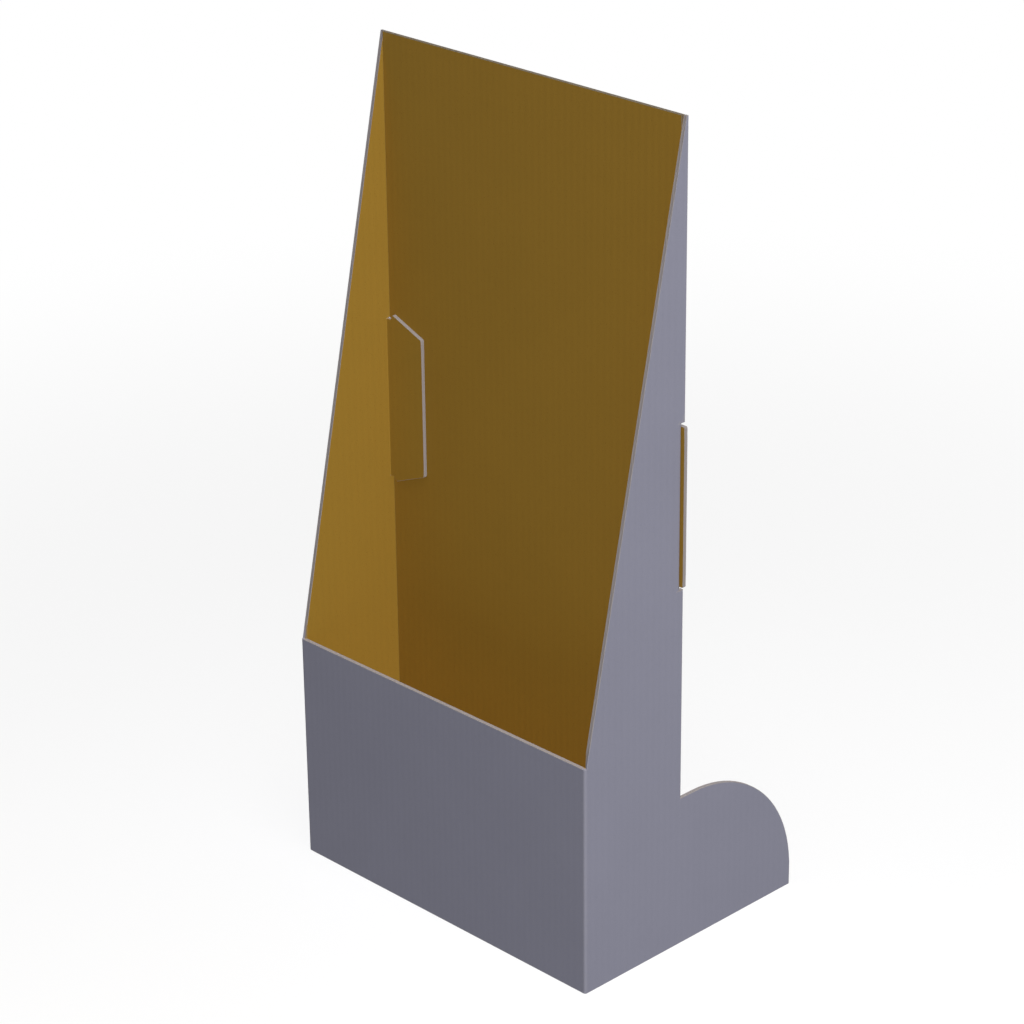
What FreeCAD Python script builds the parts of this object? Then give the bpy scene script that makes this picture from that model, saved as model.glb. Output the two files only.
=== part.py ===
# Cardboard display stand: a tall back board, a low front and two sloping sides that run on
# behind as feet. It is two folded sheets of single-wall corrugated board.
# Lengths are in millimetres. In the sketches x runs across the stand, y from front to back
# with zero on the front's inner face, and z up from the surface that it stands on.
import FreeCAD, Part
import math
import os
import re
from collections import namedtuple

import Sketcher

# Driving sizes: name, value, meaning
DRIVING = [
    ("inner_width", 300.0, "between the inner faces of the two sides"),
    ("pocket_depth", 94.0, "from the front's inner face to the back's inner face"),
    ("board", 3.1, "thickness of the corrugated board"),
    ("fold_radius", 0.6, "inner radius of every fold"),
    ("outer_radius", 2.0, "outer radius of every fold"),
    ("front_height", 185.5, "top edge of the front"),
    ("back_height", 646.0, "top edge of the back and top corners of the sides"),
    ("foot_length", 125.0, "reach of the feet behind the back"),
    ("foot_height", 124.0, "top of the feet where they leave the back edge"),
    ("foot_radius", 110.0, "rounded top of the feet"),
    ("ear_bottom", 296.5, "lower edge of the back's ears"),
    ("ear_top", 420.7, "upper edge of the back's ears"),
    ("ear_overhang", 2.6, "how far the ears stand out past the sides"),
    ("ear_corner", 1.2, "rounded free corners of the ears"),
    ("notch_gap", 2.5, "free height above and below an ear in its notch"),
    ("tab_length", 38.0, "reach of the glue tabs from the sides' inner faces"),
    ("tab_end_bottom", 303.2, "lower corner of a glue tab's free end"),
    ("tab_end_top", 414.9, "upper corner of a glue tab's free end"),
    ("tab_taper", 21.7, "degrees that the tab's long edges turn in"),
    ("tab_root", 4.1, "from the side's inner face to where a tab widens"),
    ("tab_shoulder", 7.0, "from the side's inner face to where the long edges begin"),
    ("tab_corner", 1.0, "rounded free corners of the glue tabs"),
    ("back_gap", 0.4, "clearance between the back's edges and the sides"),
    ("tuck_height", 45.0, "top of the floor's flap that stands behind the front"),
    ("tuck_inset", 12.0, "how far the flap's bevelled top corners come in"),
    ("cut_margin", 5.0, "how far a cutting outline runs past the board"),
]

# Worked out from the driving sizes: name, expression, meaning
DERIVED = [
    ("half_width", "=inner_width / 2", "inner face of a side"),
    ("outer_half", "=half_width + board", "outer face of a side"),
    ("fold_back", "=board + fold_radius", "from an outer face to where a fold's inner round begins"),
    ("back_outer", "=pocket_depth + board", "outer face of the back and back edge of the sides"),
    ("foot_end", "=back_outer + foot_length", "rearmost point of the feet"),
    ("slope_start", "=-board / 2", "the slope starts over the middle of the front's edge"),
    ("slope_end", "=pocket_depth + board / 2", "and ends beside the middle of the back's edge"),
    ("fold_in", "=half_width - fold_radius", "a side's fold begins here on the cross boards"),
    ("turn_in", "=outer_half - outer_radius", "centre of the outer round of a side's fold"),
    ("turn_at", "=outer_radius - board", "the same centre, behind the front's inner face"),
    ("tab_fold", "=pocket_depth - fold_back", "a tab's fold begins here on the side"),
    ("tab_turn", "=pocket_depth - outer_radius", "centre of the outer round of a tab's fold"),
    ("notch_bottom", "=ear_bottom - notch_gap", "lower end of the notch and of the tab's fold"),
    ("notch_top", "=ear_top + notch_gap", "upper end of the notch and of the tab's fold"),
    ("tab_end", "=half_width - tab_length", "free end of a tab"),
    ("root_at", "=half_width - tab_root", "a tab is as high as its notch up to here"),
    ("shoulder_at", "=half_width - tab_shoulder", "a tab's long edges begin here"),
    ("taper_rise", "=(tab_length - tab_shoulder) * tan(tab_taper)", "rise of a long edge"),
    ("back_half", "=half_width - back_gap", "half the width of the back"),
    ("floor_half", "=fold_in - back_gap", "half the width of the floor and its flap"),
    ("floor_end", "=pocket_depth - fold_radius", "the floor's fold up to the back begins here"),
    ("rear_turn", "=back_outer - outer_radius", "centre of the outer round of that fold"),
    ("ear_end", "=outer_half + ear_overhang", "free end of an ear"),
    ("shift_back", "=(board - foot_end) / 2", "puts the middle of the depth on the origin"),
]

# A corner of an outline. The side that leaves it is straight, or, where a centre and a
# radius are given, a quarter round about that centre.
Corner = namedtuple("Corner", "x y centre radius", defaults=(None, None))


def make_sizes(doc):
    """The table of sizes. Every cell that the model reads has a name."""
    sheet = doc.addObject("Spreadsheet::Sheet", "Sizes")
    rows = [(name, str(value), meaning) for name, value, meaning in DRIVING] + DERIVED
    for number, (name, content, meaning) in enumerate(rows, start=1):
        sheet.set(f"A{number}", name)
        sheet.set(f"B{number}", content)
        sheet.set(f"C{number}", meaning)
        sheet.setAlias(f"B{number}", name)
    doc.recompute()


def bound(text):
    """An expression in the sizes' names, with the table's name before each of them."""
    return re.sub(r"[a-z]\w*", lambda name: "Sizes." + name.group(), text)


def origin_plane(body, role):
    """One of the body's own three planes."""
    return next(item for item in body.Origin.OriginFeatures if item.Role == role)


def add_body(doc, label):
    """A body for one sheet of board, set so that the stand's middle lies on the origin."""
    body = doc.addObject("PartDesign::Body", label)
    body.Label = label
    body.setExpression("Placement.Base.y", bound("shift_back"))
    return body


def arc_between(start, end, centre):
    """The round side from start to end, and the ends that the sketcher numbers 1 and 2."""
    turn = (start - centre).cross(end - centre).z
    first, last = (start, end) if turn > 0 else (end, start)
    angles = [math.atan2(point.y - centre.y, point.x - centre.x) for point in (first, last)]
    circle = Part.Circle(centre, FreeCAD.Vector(0, 0, 1), (start - centre).Length)
    return Part.ArcOfCircle(circle, *angles), (1, 2) if turn > 0 else (2, 1)


def add_sketch(body, name, role, corners, offset=None):
    """A closed outline on one of the body's planes. Every corner is bound to the table."""
    sketch = body.newObject("Sketcher::SketchObject", name)
    sketch.AttachmentSupport = [(origin_plane(body, role), "")]
    sketch.MapMode = "FlatFace"
    if offset:
        sketch.setExpression("AttachmentOffset.Base.z", bound(offset))

    def point(x, y):
        return FreeCAD.Vector(*(sketch.evalExpression(bound(text)) for text in (x, y)), 0)

    def constrain(kind, text, *place):
        value = sketch.evalExpression(bound(text))
        number = sketch.addConstraint(Sketcher.Constraint(kind, *place, value))
        sketch.setExpression(f"Constraints[{number}]", bound(text))

    ends = []
    for corner, following in zip(corners, corners[1:] + corners[:1]):
        start, end = point(corner.x, corner.y), point(following.x, following.y)
        if corner.centre:
            side, order = arc_between(start, end, point(*corner.centre))
        else:
            side, order = Part.LineSegment(start, end), (1, 2)
        number = sketch.addGeometry(side)
        if corner.radius:
            constrain("Radius", corner.radius, number)
        ends.append((number, *order))
    for index, (corner, (number, first, _)) in enumerate(zip(corners, ends)):
        before, _, last = ends[index - 1]
        sketch.addConstraint(Sketcher.Constraint("Coincident", before, last, number, first))
        constrain("DistanceX", corner.x, -1, 1, number, first)
        constrain("DistanceY", corner.y, -1, 1, number, first)
    return sketch


def volume_after(body, feature):
    """The body's volume once the new feature is worked out."""
    body.Document.recompute()
    return feature.Shape.Volume


def pad(body, sketch, length, symmetric=False):
    """Board raised from the outline along the plane's normal."""
    feature = body.newObject("PartDesign::Pad", sketch.Name + "_pad")
    feature.Profile = sketch
    feature.SideType = "Symmetric" if symmetric else "One side"
    feature.setExpression("Length", bound(length))
    sketch.Visibility = False
    return feature


def pocket(body, sketch, length=None):
    """Board cut away inside the outline: right through both ways, or to a length."""
    before = body.Tip.Shape.Volume
    feature = body.newObject("PartDesign::Pocket", sketch.Name + "_cut")
    feature.Profile = sketch
    if length:
        feature.setExpression("Length", bound(length))
    else:
        feature.SideType = "Symmetric"
        feature.Type = "ThroughAll"
    sketch.Visibility = False
    if volume_after(body, feature) >= before:
        raise ValueError(f"{sketch.Name} cuts nothing")
    return feature


def mirror(body, features):
    """The same features on the stand's other side."""
    body.Document.recompute()
    copy = body.newObject("PartDesign::Mirrored", features[0].Name + "_mirrored")
    copy.Originals = features
    copy.MirrorPlane = (origin_plane(body, "YZ_Plane"), [""])
    body.Tip = copy
    body.Document.recompute()
    return copy


def round_ends(body, reach, radius):
    """Rounds the free corners of what ends at this distance to the left and right."""
    base = body.Tip
    limit = body.evalExpression(bound(reach))
    tolerance = body.evalExpression(bound("fold_radius / 10"))

    def is_corner(edge):
        points = [vertex.Point for vertex in edge.Vertexes]
        at_end = all(abs(abs(spot.x) - limit) < tolerance for spot in points)
        return at_end and abs(points[0].z - points[-1].z) < tolerance

    names = [f"Edge{i}" for i, edge in enumerate(base.Shape.Edges, start=1) if is_corner(edge)]
    feature = body.newObject("PartDesign::Fillet", body.Label + "_corners")
    feature.Base = (base, names)
    feature.setExpression("Radius", bound(radius))
    body.Tip = feature


def rectangle(left, right, bottom, top):
    """Four corners, anticlockwise."""
    return [Corner(left, bottom), Corner(right, bottom), Corner(right, top), Corner(left, top)]


def wrap_section():
    """The front and both sides seen from above, with a rounded fold at each front corner."""
    right = ("fold_in", "fold_radius")
    left = ("-fold_in", "fold_radius")
    return [
        Corner("-turn_in", "-board"),
        Corner("turn_in", "-board", ("turn_in", "turn_at"), "outer_radius"),
        Corner("outer_half", "turn_at"),
        Corner("outer_half", "foot_end"),
        Corner("half_width", "foot_end"),
        Corner("half_width", "fold_radius", right, "fold_radius"),
        Corner("fold_in", "0"),
        Corner("-fold_in", "0", left, "fold_radius"),
        Corner("-half_width", "fold_radius"),
        Corner("-half_width", "foot_end"),
        Corner("-outer_half", "foot_end"),
        Corner("-outer_half", "turn_at", ("-turn_in", "turn_at"), "outer_radius"),
    ]


def above_slope():
    """What is cut away in front of the sides' sloping edges, seen from the side."""
    return [
        Corner("-board - cut_margin", "front_height"),
        Corner("slope_start", "front_height"),
        Corner("slope_end", "back_height"),
        Corner("slope_end", "back_height + cut_margin"),
        Corner("-board - cut_margin", "back_height + cut_margin"),
    ]


def behind_back():
    """What is cut away behind the sides, down to the rounded tops of the feet."""
    turn = ("foot_end - foot_radius", "foot_height - foot_radius")
    return [
        Corner("back_outer", "back_height + cut_margin"),
        Corner("back_outer", "foot_height"),
        Corner("foot_end - foot_radius", "foot_height", turn, "foot_radius"),
        Corner("foot_end", "foot_height - foot_radius"),
        Corner("foot_end + cut_margin", "foot_height - foot_radius"),
        Corner("foot_end + cut_margin", "back_height + cut_margin"),
    ]


def tab_fold_section():
    """A glue tab's fold seen from above: a quarter round from the side to the tab."""
    return [
        Corner("half_width", "tab_fold"),
        Corner("outer_half", "tab_fold"),
        Corner("outer_half", "tab_turn", ("turn_in", "tab_turn"), "outer_radius"),
        Corner("turn_in", "pocket_depth"),
        Corner("fold_in", "pocket_depth"),
        Corner("fold_in", "pocket_depth - board", ("fold_in", "tab_fold"), "fold_radius"),
    ]


def tab_outline():
    """A glue tab seen from the front: as high as its notch, then wider, tapering to its end."""
    return [
        Corner("fold_in", "notch_bottom"),
        Corner("fold_in", "notch_top"),
        Corner("root_at", "notch_top"),
        Corner("shoulder_at", "tab_end_top + taper_rise"),
        Corner("tab_end", "tab_end_top"),
        Corner("tab_end", "tab_end_bottom"),
        Corner("shoulder_at", "tab_end_bottom - taper_rise"),
        Corner("root_at", "notch_bottom"),
    ]


def make_front_and_sides(doc):
    """The first sheet: front, sloping sides with their feet, and glue tabs on the back."""
    body = add_body(doc, "front_and_sides")
    section = add_sketch(body, "wrap_section", "XY_Plane", wrap_section())
    pad(body, section, "back_height")
    doc.recompute()

    pocket(body, add_sketch(body, "above_slope", "YZ_Plane", above_slope()))
    pocket(body, add_sketch(body, "behind_back", "YZ_Plane", behind_back()))
    notch = rectangle("tab_fold", "back_outer + cut_margin", "notch_bottom", "notch_top")
    pocket(body, add_sketch(body, "ear_notch", "YZ_Plane", notch))
    over_front = rectangle("-half_width", "half_width", "front_height", "back_height + cut_margin")
    pocket(body, add_sketch(body, "over_front", "XZ_Plane", over_front))

    section = add_sketch(body, "tab_fold", "XY_Plane", tab_fold_section(), "notch_bottom")
    fold = pad(body, section, "notch_top - notch_bottom")
    outline = add_sketch(body, "glue_tab", "XZ_Plane", tab_outline(), "-pocket_depth")
    tab = pad(body, outline, "board")
    mirror(body, [fold, tab])
    round_ends(body, "tab_end", "tab_corner")
    return body


def strip_section():
    """The back, the floor and the flap behind the front, seen from the side."""
    rear = ("floor_end", "fold_back")
    front = ("fold_back", "fold_back")
    return [
        Corner("back_outer", "back_height"),
        Corner("pocket_depth", "back_height"),
        Corner("pocket_depth", "fold_back", rear, "fold_radius"),
        Corner("floor_end", "board"),
        Corner("fold_back", "board", front, "fold_radius"),
        Corner("board", "fold_back"),
        Corner("board", "tuck_height"),
        Corner("0", "tuck_height"),
        Corner("0", "outer_radius", ("outer_radius", "outer_radius"), "outer_radius"),
        Corner("outer_radius", "0"),
        Corner("rear_turn", "0", ("rear_turn", "outer_radius"), "outer_radius"),
        Corner("back_outer", "outer_radius"),
    ]


def flap_bevel():
    """The bevel at a top corner of the flap, seen from the front."""
    return [
        Corner("floor_half - tuck_inset", "tuck_height"),
        Corner("floor_half", "tuck_height - tuck_inset"),
        Corner("floor_half", "tuck_height"),
    ]


def make_back_and_floor(doc):
    """The second sheet: the tall back with its two ears, the floor and a flap."""
    body = add_body(doc, "back_and_floor")
    strip = add_sketch(body, "strip_section", "YZ_Plane", strip_section())
    pad(body, strip, "2 * back_half", symmetric=True)
    doc.recompute()

    beside = rectangle("floor_half", "half_width", "-cut_margin", "floor_end")
    narrow = pocket(body, add_sketch(body, "beside_floor", "XY_Plane", beside))
    bevel = pocket(body, add_sketch(body, "flap_bevel", "XZ_Plane", flap_bevel()), "board")
    outline = rectangle("fold_in - back_gap", "ear_end", "ear_bottom", "ear_top")
    ear = pad(body, add_sketch(body, "ear", "XZ_Plane", outline, "-back_outer"), "board")
    mirror(body, [narrow, bevel, ear])
    round_ends(body, "ear_end", "ear_corner")
    return body


def check(doc, bodies):
    """Stops if a feature failed, or if a sheet is not one sound solid."""
    for item in doc.Objects:
        if {"Invalid", "Error"} & set(item.State):
            raise ValueError(f"{item.Label} failed: {item.State}")
    for body in bodies:
        shape = body.Shape
        if shape.isNull() or not shape.isValid() or len(shape.Solids) != 1:
            raise ValueError(f"{body.Label} is not one sound solid")


def main():
    doc = FreeCAD.newDocument("display_stand")
    make_sizes(doc)
    bodies = [make_front_and_sides(doc), make_back_and_floor(doc)]
    doc.recompute()
    check(doc, bodies)
    os.makedirs("parts", exist_ok=True)
    for body in bodies:
        body.Shape.exportStep(f"parts/{body.Label}.step")
        box = body.Shape.BoundBox
        print(body.Label, "volume", round(body.Shape.Volume), "size", box.XLength, box.YLength, box.ZLength)


main()
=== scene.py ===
# %% [markdown]
# # A cardboard display stand
#
# The stand is folded from two sheets of fluted board, grey outside and brown inside. One sheet
# is the front, both sloping sides with their rounded feet, and two glue tabs. The other is the
# tall back with its ears, the floor and the flap behind the front. This lesson dresses the
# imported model, which comes in as a fixed frame in metres.

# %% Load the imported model
import math

import bpy
import numpy as np
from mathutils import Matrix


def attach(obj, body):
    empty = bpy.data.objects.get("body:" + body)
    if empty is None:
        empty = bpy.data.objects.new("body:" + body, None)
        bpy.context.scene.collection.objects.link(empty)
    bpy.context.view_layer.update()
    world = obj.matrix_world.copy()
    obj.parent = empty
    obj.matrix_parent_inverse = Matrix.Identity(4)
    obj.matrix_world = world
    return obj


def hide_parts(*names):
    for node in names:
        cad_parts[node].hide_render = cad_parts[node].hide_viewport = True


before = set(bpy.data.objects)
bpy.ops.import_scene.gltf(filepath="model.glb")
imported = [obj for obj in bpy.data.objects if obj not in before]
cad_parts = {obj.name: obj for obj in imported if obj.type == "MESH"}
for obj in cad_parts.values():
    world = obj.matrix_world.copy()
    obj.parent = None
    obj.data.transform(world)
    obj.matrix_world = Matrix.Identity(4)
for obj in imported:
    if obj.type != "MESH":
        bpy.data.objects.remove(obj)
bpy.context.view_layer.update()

# %% [markdown]
# ## Sizes
#
# The stand is measured as a box maker would: from the inner faces of its folded panels. All the
# cut lines and fold lines come from these values, so each sheet meets the other as in the model.

# %% Sizes in metres
MM = 0.001
BOARD = 3.1 * MM                 # thickness of the fluted board
FOLD_IN = 0.6 * MM               # inner radius of a fold
FOLD_OUT = 2.0 * MM              # outer radius, where the crease has pressed the board
HALF_WIDTH = 150.0 * MM          # from the middle to a side's inner face
POCKET_DEPTH = 94.0 * MM         # from the front's inner face to the back's
FRONT_HEIGHT = 185.5 * MM
BACK_HEIGHT = 646.0 * MM
FOOT_LENGTH = 125.0 * MM         # how far a foot stands out behind the back
FOOT_HEIGHT = 124.0 * MM
FOOT_RADIUS = 110.0 * MM
NOTCH_BOTTOM, NOTCH_TOP = 294.0 * MM, 423.2 * MM
EAR_BOTTOM, EAR_TOP = 296.5 * MM, 420.7 * MM
EAR_END = 155.7 * MM             # an ear's end, from the middle
EAR_CORNER = 1.2 * MM
TAB_END = 112.0 * MM             # a glue tab's free end, from the middle
TAB_END_BOTTOM, TAB_END_TOP = 303.2 * MM, 414.9 * MM
TAB_ROOT = 145.9 * MM            # where a tab widens, from the middle
TAB_SHOULDER = 143.0 * MM
TAB_TAPER = math.radians(21.7)
TAB_CORNER = 1.0 * MM
BACK_HALF = 149.6 * MM
FLOOR_HALF = 149.0 * MM
FLAP_TOP = 45.0 * MM
FLAP_BEVEL = 12.0 * MM
FRONT_AT = -109.5 * MM           # where the front's inner face stands in the row frame

# %% [markdown]
# ## The camera
#
# The picture looks at the stand from its right front corner, from above, through a long lens.
# The place and the lens were worked out from the corners of the panels. The small shift only
# brings the stand to where it is in the frame.

# %% Camera
IMAGE_WIDTH = 1024
SENSOR = 36.0
LENS_PIXELS = 3306.76
CENTRE_X, CENTRE_Y = 594.73, 520.04
CAMERA_AT = (1.60755, -1.58739, 1.29901)
CAMERA_AZIMUTH, CAMERA_ELEVATION = math.radians(44.411), math.radians(23.927)

camera_data = bpy.data.cameras.new("camera")
camera_data.sensor_width = SENSOR
camera_data.lens = LENS_PIXELS / IMAGE_WIDTH * SENSOR
camera_data.shift_x = (IMAGE_WIDTH / 2 - CENTRE_X) / IMAGE_WIDTH
camera_data.shift_y = (CENTRE_Y - IMAGE_WIDTH / 2) / IMAGE_WIDTH
camera_data.clip_end = 50.0
camera = bpy.data.objects.new("camera", camera_data)
camera.location = CAMERA_AT
camera.rotation_euler = (math.pi / 2 - CAMERA_ELEVATION, 0.0, CAMERA_AZIMUTH)
bpy.context.scene.collection.objects.link(camera)
bpy.context.scene.camera = camera
print("lens", round(camera_data.lens, 2), "mm")

# %% [markdown]
# ## Folding a board
#
# A box maker draws a sheet flat: so far along the sheet, so far across it. Folding it changes
# neither. So each piece is worked out in its flat pattern, and one function says where a point
# goes when the board is folded: straight runs joined by quarter turns, always towards the
# inner face. The depth through the board is 0 at the inner face and 1 at the outer one.

# %% Fold a strip
TURN = (FOLD_IN + BOARD / 2) * math.pi / 2      # board that a fold uses up, at mid-thickness
LEVEL_SHARE = 0.25                              # of a turn, at each end of its outer round


def rounded_turn(corner, right, ahead, reach, radius, part):
    """Place on a face that turns a corner: level, round through a quarter, and level again.

    Where the reach is longer than the radius, the first and the last quarter of the turn are
    level. Between them it is the round's centre plus the radius turned by the part passed.
    """
    level = reach - radius
    share = LEVEL_SHARE if level > 0 else 0.0
    angle = np.interp(part, [0, share, 1 - share, 1], [0, 0, 1, 1])[..., None] * math.pi / 2
    before = np.interp(part, [0, share], [level, 0])[..., None]
    after = np.interp(part, [1 - share, 1], [0, level])[..., None]
    centre = corner - radius * (right + ahead)
    bend = centre + radius * (np.cos(angle) * right + np.sin(angle) * ahead)
    return bend - before * ahead - after * right


def folded(start, heading, runs, along, depth):
    """Place in the fold's plane of a point so far along the strip and so deep in the board.

    In a straight run it is the run's start, plus the distance along its heading, plus the
    depth times the thickness to the right of the heading. In a turn it is between the inner
    and the outer face, each rounded with its own radius, as far as the depth says.
    """
    along, depth = np.broadcast_arrays(along, depth)
    spot, ahead = np.array(start, dtype=float), np.array(heading, dtype=float)
    deep = depth[..., None]
    place, begin = np.zeros(along.shape + (2,)), 0.0
    for number, run in enumerate(runs):
        right = np.array((ahead[1], -ahead[0]))
        inside = (along >= begin) if number else np.ones(along.shape, bool)
        step = (along - begin)[..., None] * ahead + deep * BOARD * right
        place = np.where(inside[..., None], spot + step, place)
        if number == len(runs) - 1:
            break
        begin += run
        inner = spot + (run + FOLD_IN) * ahead
        outer = inner + BOARD * (right + ahead)
        part = np.clip((along - begin) / TURN, 0, 1)
        faces = [rounded_turn(corner, right, ahead, reach, radius, part) for corner, reach, radius
                 in ((inner, FOLD_IN, FOLD_IN), (outer, BOARD + FOLD_IN, FOLD_OUT))]
        bend = faces[0] + deep * (faces[1] - faces[0])
        place = np.where((along >= begin)[..., None], bend, place)
        spot, ahead = inner - FOLD_IN * right, -right
        begin += TURN
    return place


# The runs of the first sheet, from the middle of the front round to a foot, and to a tab.
FRONT_RUN = HALF_WIDTH - FOLD_IN
SIDE_START = FRONT_RUN + TURN
TAB_RUN = POCKET_DEPTH - BOARD - 2 * FOLD_IN
TAB_FOLD = SIDE_START + TAB_RUN
BACK_EDGE = SIDE_START + POCKET_DEPTH + BOARD - FOLD_IN
FOOT_END = BACK_EDGE + FOOT_LENGTH
TAB_START = TAB_FOLD + TURN
TAB_REACH = TAB_START + FRONT_RUN - TAB_END
print("half a wrap is", round(FOOT_END / MM, 1), "mm, with a tab", round(TAB_REACH / MM, 1))

# %% [markdown]
# ## A sheet with a soft cut edge
#
# Real board is die-cut: both faces stay flat, and the blade leaves an edge whose corners are
# slightly rounded. A solid made with a modifier would lose track of what is face and what is
# cut, so the sheet is put together from arrays: patches of the flat pattern are welded, edges
# that belong to one patch face only are the outline, and a rounded profile is carried along it.

# %% Patches of a flat pattern
def spread(*stops, step):
    """Values from stop to stop, each stretch divided evenly into pieces of about one step."""
    parts = [np.linspace(a, b, max(1, round(abs(b - a) / step)) + 1)[:-1]
             for a, b in zip(stops, stops[1:])]
    return np.concatenate(parts + [stops[-1:]])


def patch_across(left, right, parts, heights):
    """Grid of points: at each height, the left edge plus a part of the way to the right edge."""
    left, right = (np.broadcast_to(side, heights.shape)[:, None] for side in (left, right))
    return left + parts * (right - left), heights[:, None] + 0 * (parts + left)


def patch_up(columns, low, high, parts):
    """Grid of points: in each column, the lower edge plus a part of the way to the upper one."""
    return columns + 0 * parts[:, None], low + parts[:, None] * (high - low)


def rounded_end(columns, end, radius):
    """What a rounded corner takes off a column's height: the radius less the circle's height."""
    reach = np.clip((columns - (end - radius)) / radius, 0.0, 1.0)
    return radius * (1 - np.sqrt(1 - reach ** 2))


def towards_round_end(start, end, radius, step, turns):
    """Columns that are even up to the rounded corner and follow equal angles round it."""
    angles = np.linspace(0.0, math.pi / 2, turns + 1)[1:]
    return np.concatenate([spread(start, end - radius, step=step),
                           end - radius + radius * np.sin(angles)])


def mirrored(patches):
    """The patches and their twins on the other side of the middle line."""
    return patches + [(branch, -across[:, ::-1], up[:, ::-1]) for branch, across, up in patches]


# %% Weld, find the outline, and close the sheet with its cut edge
CUT_ROUND = 0.28 * MM            # radius of the two corners of a cut edge
CUT_STEPS = 3                    # faces round each of them
CUT_TURN = np.linspace(0.0, math.pi / 2, CUT_STEPS + 1)
CUT_INSET = np.concatenate([1 - np.sin(CUT_TURN), (1 - np.sin(CUT_TURN))[::-1]]) * CUT_ROUND
CUT_LOW = (1 - np.cos(CUT_TURN)) * CUT_ROUND / BOARD
CUT_DEPTH = np.concatenate([CUT_LOW, 1 - CUT_LOW[::-1]])
SAME_PLACE = 1e-7                # metres: flat points that agree to this are welded
HAIR = 1e-9                      # metres, let through where two places are compared
LEAST_MITRE = 0.2                # a point off the outline has none, one on a straight has 2
SHARP_FROM = math.radians(50.0)  # a bend between two faces that stays an edge
INNER_FINISH, OUTER_FINISH, CUT_FINISH, EAR_FINISH = range(4)


def welded(patches):
    """One list of flat points and one of four-cornered faces, with shared points merged."""
    points, faces, count = [], [], 0
    for branch, across, up in patches:
        index = np.arange(across.size).reshape(across.shape) + count
        faces.append(np.stack([index[:-1, :-1], index[:-1, 1:], index[1:, 1:], index[1:, :-1]],
                              axis=-1).reshape(-1, 4))
        points.append(np.stack([np.full(across.size, branch * 1.0), across.ravel(), up.ravel()],
                               axis=1))
        count += across.size
    points = np.concatenate(points)
    points[np.abs(points[:, 1]) <= TAB_FOLD + HAIR, 0] = 0
    keys = np.round(points / SAME_PLACE).astype(np.int64)
    _, first, back = np.unique(keys, axis=0, return_index=True, return_inverse=True)
    return points[first], back.ravel()[np.concatenate(faces)]


def outline_of(points, faces):
    """Edges that belong to one face only, and for each point the mitred way out of the sheet."""
    edges = np.stack([faces, np.roll(faces, -1, axis=1)], axis=-1).reshape(-1, 2)
    _, back, counts = np.unique(np.sort(edges, axis=1), axis=0, return_inverse=True,
                                return_counts=True)
    edges = edges[counts[back.ravel()] == 1]
    way = points[edges[:, 1], 1:] - points[edges[:, 0], 1:]
    way /= np.linalg.norm(way, axis=1, keepdims=True)
    out = np.stack([way[:, 1], -way[:, 0]], axis=1)
    total = np.zeros((len(points), 2))
    np.add.at(total, edges[:, 0], out)
    np.add.at(total, edges[:, 1], out)
    half = np.sum(total ** 2, axis=1, keepdims=True) / 2
    return edges, np.where(half > LEAST_MITRE, total / np.maximum(half, LEAST_MITRE), 0.0)


def nearest_cut(flat, start, end):
    """Distance of each flat point from the nearest cut, by its foot on each outline edge."""
    run = end - start
    part = np.einsum("ijk,jk->ij", flat[:, None] - start, run) / np.sum(run ** 2, axis=1)
    foot = start + np.clip(part, 0, 1)[..., None] * run
    return np.linalg.norm(flat[:, None] - foot, axis=2).min(axis=1)


def facing_out(places, quads):
    """The faces with their front sides out.

    The volume inside is a sixth of the sum of a x b . c over the triangles, two to a face. Where
    it comes out negative, the faces are turned over.
    """
    a, b, c, d = (places[quads[:, corner]] for corner in range(4))
    volume = (np.sum(np.cross(a, b) * c) + np.sum(np.cross(a, c) * d)) / 6
    print("board in the sheet", round(abs(volume) / MM ** 3), "cubic mm")
    return quads if volume > 0 else quads[:, ::-1]


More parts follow.
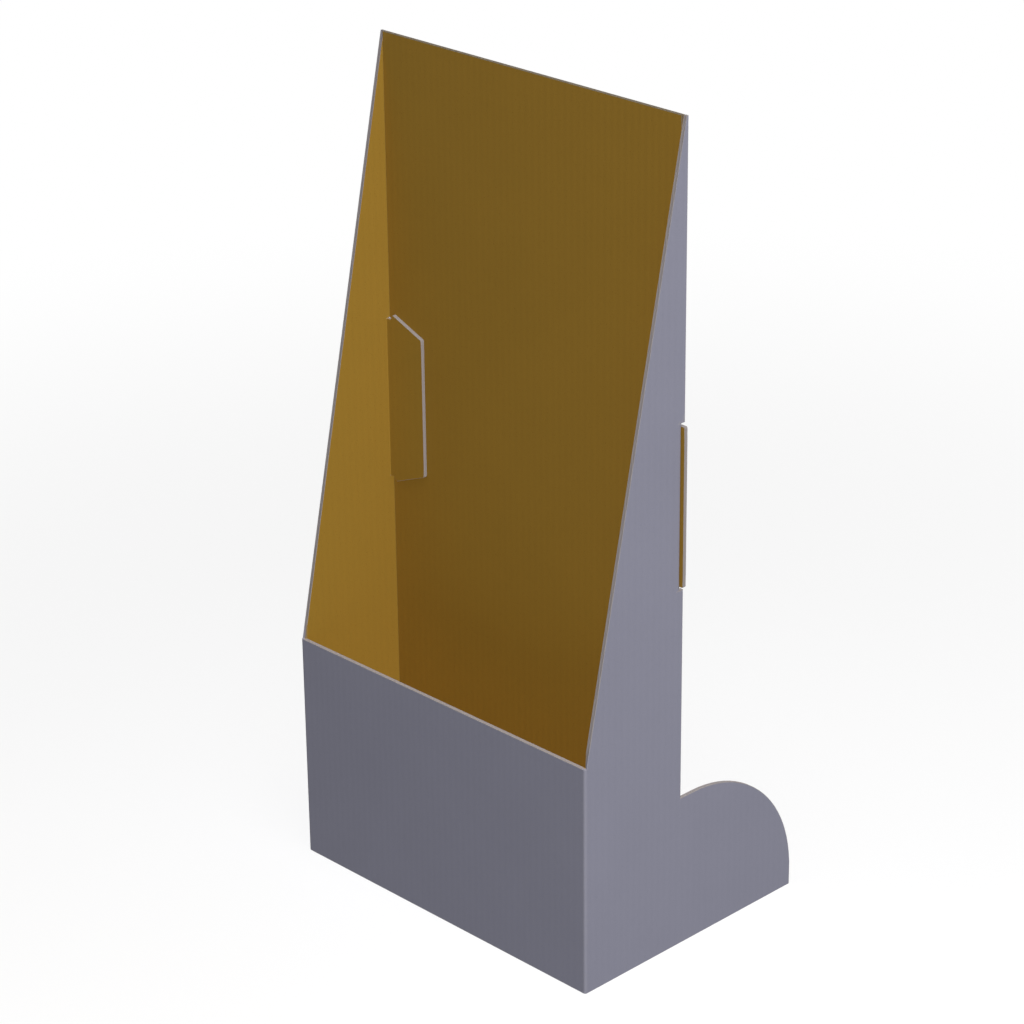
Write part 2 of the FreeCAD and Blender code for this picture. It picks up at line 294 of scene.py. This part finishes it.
def make_sheet(name, patches, place, fold_distance):
    """A folded sheet: inner face, outer face, and the cut profile carried along the outline."""
    points, faces = welded(patches)
    edges, out = outline_of(points, faces)
    rim = np.unique(edges)
    number = np.zeros(len(points), int)
    number[rim] = np.arange(len(rim))
    flat, deep, rows = [points[:, 1:] - out * CUT_INSET[0]] * 2, [0.0, 1.0], [rim]
    for inset, depth in zip(CUT_INSET[1:-1], CUT_DEPTH[1:-1]):
        rows.append(sum(map(len, flat)) + np.arange(len(rim)))
        flat = flat + [points[rim, 1:] - out[rim] * inset]
        deep.append(depth)
    rows.append(rim + len(points))
    branch = np.concatenate([points[:, 0]] * 2 + [points[rim, 0]] * (len(flat) - 2))
    depth = np.concatenate([np.full(len(part), value) for part, value in zip(flat, deep)])
    flat = np.concatenate(flat)
    a, b = number[edges[:, 0]], number[edges[:, 1]]
    ends = [(rows[0][a], rows[0][b])] + [(row[a], row[b]) for row in rows[1:]]
    band = np.concatenate([np.stack([low[0], low[1], high[1], high[0]], axis=1)
                           for low, high in zip(ends, ends[1:])])
    places = place(branch, flat[:, 0], flat[:, 1], depth)
    quads = facing_out(places, np.concatenate([faces[:, ::-1], faces + len(points), band]))
    kind = np.repeat([INNER_FINISH, OUTER_FINISH, CUT_FINISH], [len(faces), len(faces), len(band)])

    mesh = bpy.data.meshes.new(name)
    mesh.from_pydata(places, [], quads)
    mesh.polygons.foreach_set("material_index", kind)
    mesh.polygons.foreach_set("use_smooth", np.ones(len(quads), bool))
    corner = quads.ravel()
    is_cut = np.repeat(kind == CUT_FINISH, 4)
    up = np.where(is_cut, depth[corner] * BOARD, flat[corner, 1])
    board = np.stack([flat[corner, 0], up], axis=1).astype(np.float32)
    mesh.uv_layers.new(name="board").data.foreach_set("uv", board.ravel())
    near = nearest_cut(flat, points[edges[:, 0], 1:], points[edges[:, 1], 1:])
    for label, values in (("cut_distance", near), ("fold_distance", fold_distance(branch, flat))):
        mesh.attributes.new(label, "FLOAT", "POINT").data.foreach_set("value", values)
    mesh.set_sharp_from_angle(angle=SHARP_FROM)
    piece = bpy.data.objects.new(name, mesh)
    bpy.context.scene.collection.objects.link(piece)
    even = piece.modifiers.new("even_shading", "WEIGHTED_NORMAL")
    even.keep_sharp = True
    print(name, "has", len(quads), "faces and", len(rim), "points round its cuts")
    return piece


# %% [markdown]
# ## The front with its sides, feet and tabs
#
# One sheet goes round three sides of the stand. Seen flat it is a long strip: the front in the
# middle, a side to each hand, and behind each side a foot. The sloping cut starts at the front's
# top edge, half a thickness outside its inner face, and ends just short of the back edge. A
# notch in the back edge lets the back's ear through, and the board between the two is folded in
# as a glue tab.

# %% Patches of one half of the wrap
CELL = 9.0 * MM                  # length of a face, where nothing asks for a shorter one
STRIP_CELL, TAB_CELL, ROOT_CELL = 3.5 * MM, 3.0 * MM, 2.0 * MM
TURN_PARTS = 12                  # faces along a fold
FOOT_PARTS, TAB_CORNER_PARTS = 24, 5      # faces round a foot, and round a corner of a tab
SLOPE_FOOT = SIDE_START - TURN / 3        # two thirds of the way through the fold
SLOPE_HEAD = BACK_EDGE - BOARD / 2
SLOPE = (POCKET_DEPTH + BOARD) / (BACK_HEIGHT - FRONT_HEIGHT)
PAST_FOLD = FRONT_HEIGHT + (BOARD / 2 + FOLD_IN) / SLOPE


def slope_at(height):
    """Where the sloping cut is along the sheet: a line across the fold, then one up the side."""
    return np.interp(height, [FRONT_HEIGHT, PAST_FOLD, BACK_HEIGHT],
                     [SLOPE_FOOT, SIDE_START, SLOPE_HEAD])


def foot_top(columns):
    """Top of a foot: level, then a circle's height over its centre."""
    return FOOT_HEIGHT - rounded_end(columns, FOOT_END, FOOT_RADIUS)


def tab_rim(columns, sign, fold_height, end_height):
    """Long edge of a tab: level at its root, wider at the shoulder, tapered to its end."""
    widest = end_height + sign * (TAB_SHOULDER - TAB_END) * math.tan(TAB_TAPER)
    line = np.interp(columns, TAB_STOPS, [fold_height, fold_height, widest, end_height])
    return line - sign * rounded_end(columns, TAB_REACH, TAB_CORNER)


TAB_STOPS = [TAB_START + FRONT_RUN - at for at in (FRONT_RUN, TAB_ROOT, TAB_SHOULDER, TAB_END)]
FOOT_ROWS = spread(0.0, FOOT_HEIGHT, step=CELL)
low_rows = np.concatenate([FOOT_ROWS, spread(FOOT_HEIGHT, FRONT_HEIGHT, step=CELL)[1:]])
under_notch = spread(FRONT_HEIGHT, PAST_FOLD, NOTCH_BOTTOM, step=CELL)
notch_rows = spread(NOTCH_BOTTOM, NOTCH_TOP, step=CELL)
over_notch = spread(NOTCH_TOP, BACK_HEIGHT, step=CELL)
front_columns = np.concatenate([spread(0.0, FRONT_RUN, step=CELL),
                                spread(FRONT_RUN, SIDE_START, step=TURN / TURN_PARTS)[1:],
                                spread(SIDE_START, TAB_FOLD, step=CELL)[1:]])
strip_columns = spread(TAB_FOLD, BACK_EDGE, step=STRIP_CELL)
foot_columns = towards_round_end(BACK_EDGE, FOOT_END, FOOT_RADIUS, CELL, FOOT_PARTS)
tab_columns = np.concatenate([spread(TAB_FOLD, TAB_START, step=TURN / TURN_PARTS),
                              spread(*TAB_STOPS[:3], step=ROOT_CELL)[1:],
                              towards_round_end(TAB_STOPS[2], TAB_REACH, TAB_CORNER, TAB_CELL,
                                                TAB_CORNER_PARTS)[1:]])

side_parts = front_columns[front_columns > SLOPE_FOOT - HAIR]
side_parts = (side_parts - SLOPE_FOOT) / (TAB_FOLD - SLOPE_FOOT)
at_notch = slope_at(NOTCH_TOP)
top_parts = np.concatenate([at_notch + side_parts * (TAB_FOLD - at_notch), strip_columns[1:]])
top_parts = (top_parts - at_notch) / (BACK_EDGE - at_notch)
whole = front_columns / TAB_FOLD
strip = (strip_columns - TAB_FOLD) / (BACK_EDGE - TAB_FOLD)
tab_parts = (notch_rows - NOTCH_BOTTOM) / (NOTCH_TOP - NOTCH_BOTTOM)

half_wrap = [
    (0, *patch_across(0.0, TAB_FOLD, whole, low_rows)),
    (0, *patch_across(TAB_FOLD, BACK_EDGE, strip, low_rows)),
    (0, *patch_across(slope_at(under_notch), TAB_FOLD, side_parts, under_notch)),
    (0, *patch_across(TAB_FOLD, BACK_EDGE, strip, under_notch)),
    (0, *patch_across(slope_at(notch_rows), TAB_FOLD, side_parts, notch_rows)),
    (0, *patch_across(slope_at(over_notch), BACK_EDGE, top_parts, over_notch)),
    (0, *patch_up(foot_columns, 0.0, foot_top(foot_columns), FOOT_ROWS / FOOT_HEIGHT)),
    (1, *patch_up(tab_columns, tab_rim(tab_columns, -1, NOTCH_BOTTOM, TAB_END_BOTTOM),
                  tab_rim(tab_columns, 1, NOTCH_TOP, TAB_END_TOP), tab_parts)),
]

# %% Fold the wrap
SIDE_RUN = FOOT_END - SIDE_START


def place_wrap(branch, across, up, depth):
    """Plan of the folded strip, mirrored left of the middle; the height is kept."""
    start, heading = (0.0, FRONT_AT), (1.0, 0.0)
    side = folded(start, heading, (FRONT_RUN, SIDE_RUN), abs(across), depth)
    tab = folded(start, heading, (FRONT_RUN, TAB_RUN, FRONT_RUN), abs(across), depth)
    plan = np.where((branch == 1)[:, None], tab, side)
    return np.column_stack([np.where(across < 0, -plan[:, 0], plan[:, 0]), plan[:, 1], up])


def wrap_folds(branch, flat):
    """Distance from the nearest fold's middle line, along the sheet.

    The tab's level root counts with its fold. So do the points where that fold begins, which the
    tab shares with the side.
    """
    along = abs(flat[:, 0])
    corner = abs(along - (SIDE_START - TURN / 2))
    tab = abs(along - np.clip(along, TAB_FOLD + TURN / 2, TAB_STOPS[1]))
    beside_tab = (flat[:, 1] > NOTCH_BOTTOM - MM) & (flat[:, 1] < NOTCH_TOP + MM)
    on_tab = (branch == 1) | (beside_tab & (abs(along - TAB_FOLD) < MM / 2))
    return np.where(on_tab, np.minimum(corner, tab), corner)


wrap = make_sheet("wrap", mirrored(half_wrap), place_wrap, wrap_folds)

# %% [markdown]
# ## The back with its floor, flap and ears
#
# The second sheet is a strip as wide as the pocket. From the flap behind the front it turns
# under to make the floor, then up to make the tall back. It is drawn flat with the flap's top
# at zero, so one function folds it in the side view. The ears are small squares of the back
# that pass through the notches and stand out a little beyond the sides.

# %% Patches of one half of the back sheet
FLAP_CELL, EAR_CELL = 6.0 * MM, 2.0 * MM
EAR_CORNER_PARTS = 4
FLAP_RUN = FLAP_TOP - BOARD - FOLD_IN
FLOOR_RUN = POCKET_DEPTH - BOARD - 2 * FOLD_IN
FLOOR_START = FLAP_RUN + TURN
FLOOR_STOP = FLOOR_START + FLOOR_RUN
BACK_START = FLOOR_STOP + TURN
BACK_LIFT = BACK_START - BOARD - FOLD_IN      # from a height on the back to its flat distance


def flap_side(rows):
    """Half width of the flap: full, less what its bevelled corners take near its top edge."""
    return FLOOR_HALF - np.clip(FLAP_BEVEL - rows, 0.0, None)


flap_rows = spread(0.0, FLAP_BEVEL, FLAP_RUN, step=FLAP_CELL)
turn_rows = spread(FLAP_RUN, FLOOR_START, step=TURN / TURN_PARTS)
floor_rows = spread(FLOOR_START, FLOOR_STOP, step=CELL)
rear_turn_rows = spread(FLOOR_STOP, BACK_START, step=TURN / TURN_PARTS)
floor_parts = spread(0.0, 1.0, step=CELL / FLOOR_HALF)
back_columns = np.append(floor_parts * FLOOR_HALF, BACK_HALF) / BACK_HALF
ear_columns = towards_round_end(BACK_HALF, EAR_END, EAR_CORNER, EAR_CELL, EAR_CORNER_PARTS)
ear_rows = spread(EAR_BOTTOM, EAR_TOP, step=CELL)
back_rows = np.concatenate([rear_turn_rows,
                            spread(BACK_START, BACK_LIFT + EAR_BOTTOM, step=CELL)[1:],
                            ear_rows[1:] + BACK_LIFT,
                            spread(BACK_LIFT + EAR_TOP, BACK_LIFT + BACK_HEIGHT, step=CELL)[1:]])
lower_rows = np.concatenate([flap_rows, turn_rows[1:], floor_rows[1:]])
ear_cut = rounded_end(ear_columns, EAR_END, EAR_CORNER)
half_back = [
    (0, *patch_across(0.0, flap_side(lower_rows), floor_parts, lower_rows)),
    (0, *patch_across(0.0, BACK_HALF, back_columns, back_rows)),
    (0, *patch_up(ear_columns, EAR_BOTTOM + BACK_LIFT + ear_cut, EAR_TOP + BACK_LIFT - ear_cut,
                  (ear_rows - EAR_BOTTOM) / (EAR_TOP - EAR_BOTTOM))),
]


# %% Fold the back sheet
def place_back(branch, across, up, depth):
    """Side view of the folded strip, from the flap's top down, back along the floor and up."""
    start, heading = (FRONT_AT + BOARD, FLAP_TOP), (0.0, -1.0)
    side = folded(start, heading, (FLAP_RUN, FLOOR_RUN, BACK_HEIGHT), up, depth)
    return np.column_stack([across, side])


def back_folds(branch, flat):
    """Distance from the nearer of the floor's two folds, along the sheet."""
    return np.minimum(abs(flat[:, 1] - FLAP_RUN - TURN / 2), abs(flat[:, 1] - BACK_START + TURN / 2))


back = make_sheet("back_sheet", mirrored(half_back), place_back, back_folds)

# %% [markdown]
# ## Paper, flutes and cut edges
#
# A liner is paper: a little uneven in colour, with short fibres and dark flecks, and the flutes
# under it show as faint bands. Where the board is cut, its edge shows the wavy paper between the
# two liners, and the hollows beside that paper are painted a darker grey as their shade. Both
# patterns follow the flat sheet, so they read its own UV map, in metres. They are node groups
# that give colours and heights only, and each finish keeps its own shader.

# %% Small helpers for nodes
def sheet_colour(red, green, blue):
    """A colour as on screen, 0 to 255, turned by the sRGB curve into what nodes take."""
    part = np.array((red, green, blue)) / 255.0
    linear = np.where(part <= 0.04045, part / 12.92, ((part + 0.055) / 1.055) ** 2.4)
    return (*linear.tolist(), 1.0)


def add_node(tree, kind, inputs=(), **settings):
    """A node with its settings made and its inputs joined to a socket or set to a value."""
    node = tree.nodes.new("ShaderNode" + kind)
    for name, value in settings.items():
        setattr(node, name, value)
    for slot, value in dict(inputs).items():
        if isinstance(value, bpy.types.NodeSocket):
            tree.links.new(value, node.inputs[slot])
        else:
            node.inputs[slot].default_value = value
    return node


def maths(tree, operation, *values, clamp=False):
    """One step of arithmetic on sockets or numbers."""
    return add_node(tree, "Math", enumerate(values), operation=operation,
                    use_clamp=clamp).outputs[0]


def mixed(tree, amount, first, second, blend="MIX"):
    """Two colours mixed by an amount."""
    node = add_node(tree, "Mix", data_type="RGBA", blend_type=blend)
    for slot, value in zip((0, 6, 7), (amount, first, second)):
        if isinstance(value, bpy.types.NodeSocket):
            tree.links.new(value, node.inputs[slot])
        else:
            node.inputs[slot].default_value = value
    return node.outputs[2]


def eased(tree, value, low, high, start=0.0, stop=1.0):
    """The value carried from one range to another, smoothly, and held at the ends."""
    return add_node(tree, "MapRange", {"Value": value, "From Min": low, "From Max": high,
                                       "To Min": start, "To Max": stop},
                    interpolation_type="SMOOTHSTEP").outputs[0]


def noise(tree, vector, scale, detail=3.0, roughness=0.55):
    """Soft noise between 0 and 1, with so many blobs to a metre."""
    return add_node(tree, "TexNoise", {"Vector": vector, "Scale": scale, "Detail": detail,
                                       "Roughness": roughness}).outputs[0]


def new_group(name, inputs, outputs):
    """An empty node group with named sockets, and its two ends."""
    group = bpy.data.node_groups.new(name, "ShaderNodeTree")
    for way, sockets in (("INPUT", inputs), ("OUTPUT", outputs)):
        for label, kind in sockets:
            group.interface.new_socket(label, in_out=way, socket_type="NodeSocket" + kind)
    ends = group.nodes.new("NodeGroupInput"), group.nodes.new("NodeGroupOutput")
    return group, ends[0].outputs, ends[1].inputs


# %% The face of a liner
FLUTE_PITCH = 6.5 * MM
PATCH_SCALE, FLECK_SCALE, SCUFF_SCALE = 14.0, 900.0, 220.0      # blobs to a metre
FIBRE_SCALE = (900.0, 160.0, 1.0)                # fibres lie along the flutes
PATCH_TONE, FIBRE_TONE, FLUTE_TONE = 0.10, 0.08, 0.008     # how far each moves the colour
FLECK_NONE, FLECK_FULL = 0.62, 0.72
CUT_REACH, FOLD_REACH = 1.4 * MM, 2.2 * MM       # how far in from each the paper is rubbed
CUT_RUB, FOLD_RUB = (1.25, 0.45), (1.35, 0.35)   # share of the reach plus scuffs: whole, worn
LINER_ROUGH, FIBRE_ROUGH = 0.70, 0.12
LINER_RELIEF = 0.03 * MM                         # height of a flute's band, and of a fibre


def make_liner_group():
    """Paper over flutes: patches, fibres and flecks in the colour, flute bands in the height."""
    group, given, result = new_group(
        "paper_liner",
        [("Board", "Vector"), ("Colour", "Color"), ("Fleck", "Color"), ("Flecks", "Float"),
         ("Cut distance", "Float"), ("Fold distance", "Float"), ("Worn", "Color"),
         ("Cut wear", "Float"), ("Fold wear", "Float")],
        [("Colour", "Color"), ("Roughness", "Float"), ("Height", "Float")])
    board = given["Board"]
    patches = noise(group, board, PATCH_SCALE, 4.0)
    stretch = add_node(group, "Mapping", {"Vector": board, "Scale": FIBRE_SCALE})
    fibres = noise(group, stretch.outputs[0], 1.0, 2.0)
    flecks = noise(group, board, FLECK_SCALE, 2.0, 0.6)
    across = add_node(group, "SeparateXYZ", {"Vector": board}).outputs[0]
    flute = maths(group, "SINE", maths(group, "MULTIPLY", across, 2 * math.pi / FLUTE_PITCH))
    tone = maths(group, "MULTIPLY_ADD", patches, PATCH_TONE, 1 - PATCH_TONE / 2)
    tone = maths(group, "ADD", tone,
                 maths(group, "MULTIPLY_ADD", fibres, FIBRE_TONE, -FIBRE_TONE / 2))
    tone = maths(group, "ADD", tone, maths(group, "MULTIPLY", flute, FLUTE_TONE))
    paper = mixed(group, 1.0, given["Colour"],
                  add_node(group, "CombineColor", {0: tone, 1: tone, 2: tone}).outputs[0],
                  "MULTIPLY")
    dots = maths(group, "MULTIPLY", eased(group, flecks, FLECK_NONE, FLECK_FULL), given["Flecks"])
    paper = mixed(group, dots, paper, given["Fleck"])
    scuffs = noise(group, board, SCUFF_SCALE, 3.0)
    rubbed = maths(group, "ADD", maths(group, "DIVIDE", given["Cut distance"], CUT_REACH), scuffs)
    rubbed = eased(group, rubbed, *CUT_RUB)
    folded_over = maths(group, "DIVIDE", given["Fold distance"], FOLD_REACH)
    cracked = eased(group, maths(group, "ADD", folded_over, scuffs), *FOLD_RUB)
    wear = maths(group, "MAXIMUM", maths(group, "MULTIPLY", rubbed, given["Cut wear"]),
                 maths(group, "MULTIPLY", cracked, given["Fold wear"]))
    group.links.new(mixed(group, wear, paper, given["Worn"]), result["Colour"])
    group.links.new(maths(group, "MULTIPLY_ADD", fibres, FIBRE_ROUGH, LINER_ROUGH), result["Roughness"])
    relief = maths(group, "MULTIPLY_ADD", flute, LINER_RELIEF,
                   maths(group, "MULTIPLY", fibres, LINER_RELIEF))
    group.links.new(relief, result["Height"])
    return group


liner_group = make_liner_group()
print("liner group has", len(liner_group.nodes), "nodes")


# %% The cut edge of fluted board
PRESSED_REACH = 2.4 * MM, 1.2 * MM      # from a fold's middle: edge still open, edge pressed shut
DRIFT_SCALE, GRAIN_SCALE = 60.0, 1500.0      # blobs to a metre
MIDDLE, WAVE_HEIGHT = 0.5, 0.33         # in thicknesses of the board
WAVE_DRIFT = 1.5                        # radians, so that the waves aren't all alike
BESIDE_WAVE, BESIDE_LINER = (0.16, 0.07), (0.18, 0.10)      # thicknesses: hollow, paper
LINERS_MEET = 0.3, 0.6                  # depths between which pressed liners blend
CUT_ROUGH, GRAIN_ROUGH = 0.8, 0.1
GRAIN_TONE = 0.4
CUT_RELIEF = 0.25 * MM


def make_cut_group():
    """Two liners and the waving paper between them: how far a point is from that wave's line.

    In a fold the crease has pressed the flutes flat, so there only the two liners show.
    """
    group, given, result = new_group(
        "fluted_cut", [("Board", "Vector"), ("Paper", "Color"), ("Hollow", "Color"),
                       ("Inner liner", "Color"), ("Outer liner", "Color"),
                       ("Fold distance", "Float")],
        [("Colour", "Color"), ("Roughness", "Float"), ("Height", "Float")])
    split = add_node(group, "SeparateXYZ", {"Vector": given["Board"]})
    across, deep = split.outputs[0], maths(group, "DIVIDE", split.outputs[1], BOARD)
    drift = noise(group, given["Board"], DRIFT_SCALE, 2.0)
    angle = maths(group, "MULTIPLY_ADD", across, 2 * math.pi / FLUTE_PITCH,
                  maths(group, "MULTIPLY", drift, WAVE_DRIFT))
    wave = maths(group, "MULTIPLY_ADD", maths(group, "SINE", angle), WAVE_HEIGHT, MIDDLE)
    from_wave = maths(group, "ABSOLUTE", maths(group, "SUBTRACT", deep, wave))
    from_middle = maths(group, "ABSOLUTE", maths(group, "SUBTRACT", deep, MIDDLE))
    from_face = maths(group, "SUBTRACT", MIDDLE, from_middle)
    paper = maths(group, "MAXIMUM", eased(group, from_wave, *BESIDE_WAVE),
                  eased(group, from_face, *BESIDE_LINER))
    grain = noise(group, given["Board"], GRAIN_SCALE, 3.0)
    tone = maths(group, "MULTIPLY_ADD", grain, GRAIN_TONE, 1 - GRAIN_TONE / 2)
    paper = maths(group, "MULTIPLY", paper, tone, clamp=True)
    # Away from the wave and the liners the edge takes the hollow colour, painted shade in the flutes.
    opened = mixed(group, paper, given["Hollow"], given["Paper"])
    pressed = mixed(group, eased(group, deep, *LINERS_MEET),
                    given["Inner liner"], given["Outer liner"])
    shut = eased(group, given["Fold distance"], *PRESSED_REACH)
    group.links.new(mixed(group, shut, opened, pressed), result["Colour"])
    group.links.new(maths(group, "MULTIPLY_ADD", grain, GRAIN_ROUGH, CUT_ROUGH), result["Roughness"])
    group.links.new(maths(group, "MULTIPLY", paper, CUT_RELIEF), result["Height"])
    return group


cut_group = make_cut_group()
print("cut group has", len(cut_group.nodes), "nodes")


# %% Finishes
def new_finish(name, group, values, gloss, bump):
    """A material: a pattern group on the sheet's flat map, one Bump node and one shader."""
    finish = bpy.data.materials.new(name)
    finish.use_nodes = True
    tree = finish.node_tree
    shader = tree.nodes["Principled BSDF"]
    pattern = add_node(tree, "Group", node_tree=group)
    tree.links.new(add_node(tree, "UVMap", uv_map="board").outputs[0], pattern.inputs["Board"])
    for label, value in values.items():
        pattern.inputs[label].default_value = value
    for label in ("Cut distance", "Fold distance"):
        if label in pattern.inputs:
            source = add_node(tree, "Attribute", attribute_name=label.lower().replace(" ", "_"))
            tree.links.new(source.outputs["Fac"], pattern.inputs[label])
    relief = add_node(tree, "Bump", {"Height": pattern.outputs["Height"], "Strength": bump,
                                     "Distance": 1.0})
    tree.links.new(pattern.outputs["Colour"], shader.inputs["Base Color"])
    tree.links.new(pattern.outputs["Roughness"], shader.inputs["Roughness"])
    tree.links.new(relief.outputs[0], shader.inputs["Normal"])
    shader.inputs["Specular IOR Level"].default_value = gloss
    return finish


OUTER_GREY = (134, 134, 149)
WRAP_BROWN = (150, 117, 44)
BACK_BROWN = (146, 112, 41)

outer_liner = new_finish("grey_outer_liner", liner_group, {
    "Colour": sheet_colour(*OUTER_GREY), "Fleck": sheet_colour(108, 107, 120), "Flecks": 0.35,
    "Worn": sheet_colour(165, 160, 158), "Cut wear": 0.25, "Fold wear": 0.12},
    gloss=0.25, bump=0.6)
inner_liner = new_finish("brown_inner_liner", liner_group, {
    "Colour": sheet_colour(*WRAP_BROWN), "Fleck": sheet_colour(110, 78, 26), "Flecks": 0.5,
    "Worn": sheet_colour(176, 142, 82), "Cut wear": 0.08, "Fold wear": 0.0},
    gloss=0.1, bump=0.6)
back_liner = new_finish("brown_back_liner", liner_group, {
    "Colour": sheet_colour(*BACK_BROWN), "Fleck": sheet_colour(104, 76, 26), "Flecks": 0.5,
    "Worn": sheet_colour(176, 142, 82), "Cut wear": 0.08, "Fold wear": 0.0},
    gloss=0.1, bump=0.6)
# The wrap's cut edge: its hollow colour is a step darker than its paper, as painted shade.
cut_edge = new_finish("cut_board_edge", cut_group, {
    "Paper": sheet_colour(157, 150, 148), "Hollow": sheet_colour(148, 141, 141),
    "Inner liner": sheet_colour(154, 130, 92), "Outer liner": sheet_colour(148, 145, 156)},
    gloss=0.1, bump=0.5)
# The back's cut edge: here too the hollow colour is painted shade, darker than the paper.
back_cut_edge = new_finish("back_board_edge", cut_group, {
    "Paper": sheet_colour(116, 106, 90), "Hollow": sheet_colour(102, 90, 70),
    "Inner liner": sheet_colour(120, 98, 52), "Outer liner": sheet_colour(118, 112, 112)},
    gloss=0.1, bump=0.5)

for piece, faces in ((wrap, (inner_liner, outer_liner, cut_edge)),
                     (back, (back_liner, outer_liner, back_cut_edge, cut_edge))):
    for finish in faces:
        piece.data.materials.append(finish)

# The ears' ends are as pale as the wrap's cuts, so they take the back sheet's fourth finish.
back_faces = back.data.polygons
finish_of = np.zeros(len(back_faces), dtype=np.int32)
centres = np.zeros(3 * len(back_faces), dtype=np.float32)
back_faces.foreach_get("material_index", finish_of)
back_faces.foreach_get("center", centres)
ear_ends = (finish_of == CUT_FINISH) & (abs(centres[::3]) > BACK_HALF)
back_faces.foreach_set("material_index", np.where(ear_ends, EAR_FINISH, finish_of).astype(np.int32))
print("faces on the ears' ends", np.count_nonzero(ear_ends))
print("finishes", [finish.name for finish in bpy.data.materials])

# %% [markdown]
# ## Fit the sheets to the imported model
#
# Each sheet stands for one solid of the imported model, and rides on the same body.

# %% Ride and replace
for piece, node, slot_name in ((wrap, "front_and_sides", "wrap_board"),
                               (back, "back_and_floor", "back_board")):
    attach(piece, "root")
    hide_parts(node)

# %% [markdown]
# ## Floor and light
#
# The stand is on a plain white floor that takes a soft shadow. The right side is the
# brightest, as under a lamp beside the camera, and the front is a step darker. A lamp to the
# right fills the pocket too, so it casts no shadow. A soft key from above gives the floor its
# shadow, a lamp behind keeps the far sides readable, and the even sky does the rest. Near the
# stand the camera sees the floor half lifted to white, so the shadow stays. Farther off it is
# all white, like the world behind it.

# %% Floor
FLOOR_SIZE = 6.0
FLOOR_WHITE = (0.95, 0.95, 0.95, 1.0)
FLOOR_BOUNCE = (0.25, 0.25, 0.25, 1.0)     # what it throws back on the board, as a grey table
FLOOR_LIFT = 0.50        # how far the floor near the stand is moved to plain white
SHADE_NEAR, SHADE_FAR = 0.45, 1.6       # between these distances it becomes all white


def seen_by_eye(tree):
    """1 for what the camera sees straight, in a gloss or through something clear, else 0."""
    path = add_node(tree, "LightPath").outputs
    clear = maths(tree, "MAXIMUM", path["Is Glossy Ray"], path["Is Transmission Ray"])
    return maths(tree, "MAXIMUM", path["Is Camera Ray"], clear)


def make_floor():
    """A level square, one corner at each end of both axes."""
    half = FLOOR_SIZE / 2
    x, y = np.meshgrid(np.array([-half, half]), np.array([-half, half]))
    mesh = bpy.data.meshes.new("floor")
    mesh.from_pydata(np.column_stack([x.ravel(), y.ravel(), 0 * x.ravel()]), [], [(0, 1, 3, 2)])
    floor = bpy.data.objects.new("floor", mesh)
    bpy.context.scene.collection.objects.link(floor)
    finish = bpy.data.materials.new("white_floor")
    finish.use_nodes = True
    tree = finish.node_tree
    shader = tree.nodes["Principled BSDF"]
    eye = seen_by_eye(tree)
    tree.links.new(mixed(tree, eye, FLOOR_BOUNCE, FLOOR_WHITE), shader.inputs["Base Color"])
    shader.inputs["Roughness"].default_value = 0.9
    shader.inputs["Specular IOR Level"].default_value = 0.0
    white = add_node(tree, "Emission", {"Strength": 1.0})
    spot = add_node(tree, "NewGeometry").outputs["Position"]
    away = add_node(tree, "VectorMath", {0: spot}, operation="LENGTH").outputs["Value"]
    lift = maths(tree, "MULTIPLY", eye, eased(tree, away, SHADE_NEAR, SHADE_FAR, FLOOR_LIFT, 1.0))
    blend = add_node(tree, "MixShader", {0: lift, 1: shader.outputs[0], 2: white.outputs[0]})
    tree.links.new(blend.outputs[0], tree.nodes["Material Output"].inputs["Surface"])
    mesh.materials.append(finish)
    return floor


make_floor()

# %% World and lamps
SKY_LEVEL = 0.08
KEY_POWER = 0.66
FILL_POWER = 579.0
REAR_POWER = 2.0
LAMP_DISTANCE = 4.2

world = bpy.data.worlds.new("studio")
bpy.context.scene.world = world
world.use_nodes = True
sky = world.node_tree.nodes["Background"]
sky.inputs["Color"].default_value = (1.0, 1.0, 1.0, 1.0)
sky_level = maths(world.node_tree, "MULTIPLY_ADD", seen_by_eye(world.node_tree),
                  1.0 - SKY_LEVEL, SKY_LEVEL)
world.node_tree.links.new(sky_level, sky.inputs["Strength"])


def add_lamp(name, kind, azimuth, elevation, power, softness, shadow):
    """A lamp so far round and so high, in degrees; softness in degrees, or in metres."""
    data = bpy.data.lights.new(name, kind)
    data.energy = power
    data.use_shadow = shadow
    lamp = bpy.data.objects.new(name, data)
    round_, up = math.radians(azimuth), math.radians(elevation)
    if kind == "SUN":
        data.angle = math.radians(softness)
    else:
        data.shadow_soft_size = softness
    lamp.rotation_euler = (math.pi / 2 - up, 0.0, round_)
    lamp.location = [LAMP_DISTANCE * part for part in
                     (math.sin(round_) * math.cos(up), -math.cos(round_) * math.cos(up), math.sin(up))]
    bpy.context.scene.collection.objects.link(lamp)
    return lamp


add_lamp("soft_key", "SUN", azimuth=48.0, elevation=75.0, power=KEY_POWER, softness=35.0,
         shadow=True)
add_lamp("right_fill", "POINT", azimuth=63.0, elevation=34.0, power=FILL_POWER, softness=0.5,
         shadow=False)
add_lamp("rear_fill", "SUN", azimuth=235.0, elevation=25.0, power=REAR_POWER, softness=10.0,
         shadow=False)
bpy.context.scene.view_settings.view_transform = "Standard"
print("lamps", [item.name for item in bpy.data.lights])
